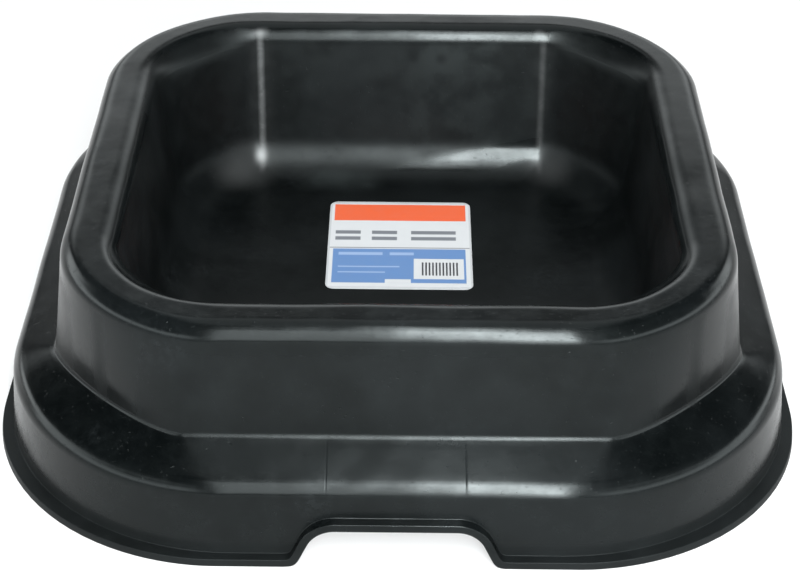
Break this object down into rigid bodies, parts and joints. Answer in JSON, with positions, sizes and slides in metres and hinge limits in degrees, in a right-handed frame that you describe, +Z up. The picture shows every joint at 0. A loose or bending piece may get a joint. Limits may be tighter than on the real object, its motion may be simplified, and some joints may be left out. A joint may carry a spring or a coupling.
{
  "type": "feed pan",
  "caption": "Square livestock feed pan moulded in black rubber, with a deep bowl, a flat rim, a stepped skirt with hand notches, a foot lip and a paper label on the bowl floor.",
  "frame": {"origin": "centre of the pan at the ground, under the bowl", "axes": "+Z up out of the bowl, -Y towards the front hand notch, +X to the right seen from the front"},
  "size_m": [0.508, 0.508, 0.137],
  "materials": {
    "black_rubber": "satin moulded rubber, softly mottled",
    "label_paper": "coated paper label"
  },
  "bodies": {
    "root": {"pan_shell": "black_rubber", "floor_label": "label_paper"}
  },
  "joints": []
}
